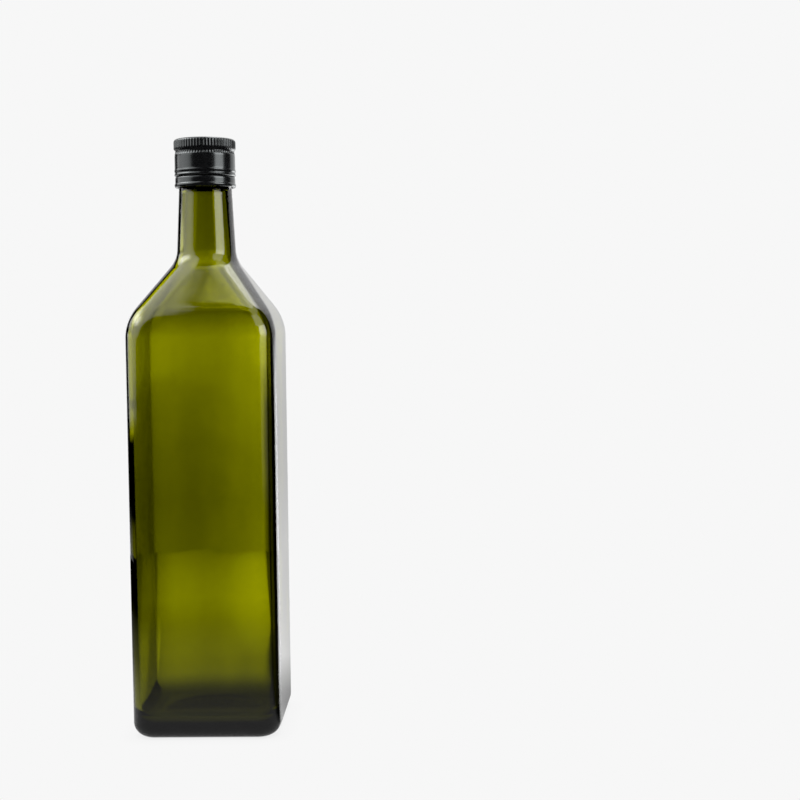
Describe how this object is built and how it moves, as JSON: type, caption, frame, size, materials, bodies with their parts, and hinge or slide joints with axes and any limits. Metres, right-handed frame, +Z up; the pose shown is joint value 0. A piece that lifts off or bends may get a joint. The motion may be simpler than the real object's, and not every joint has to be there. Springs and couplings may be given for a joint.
{
  "type": "olive oil bottle",
  "caption": "Tall square bottle of clear olive-green glass, empty, with sloping shoulders, a tapered round neck and a knurled black metal screw cap with its tamper band.",
  "frame": {"origin": "centre of the base, on the surface that the bottle stands on", "axes": "+Z up along the bottle's axis; +X and +Y square out of two flat sides of the body, with -Y the side that the picture shows"},
  "size_m": [0.0764, 0.0764, 0.3074],
  "materials": {
    "green_glass": "clear olive-green glass, smooth and glossy",
    "black_lacquer": "black lacquer on thin aluminium, half gloss"
  },
  "bodies": {
    "root": {"glass_bottle": "green_glass", "screw_cap": "black_lacquer", "tamper_band": "black_lacquer"}
  },
  "joints": []
}
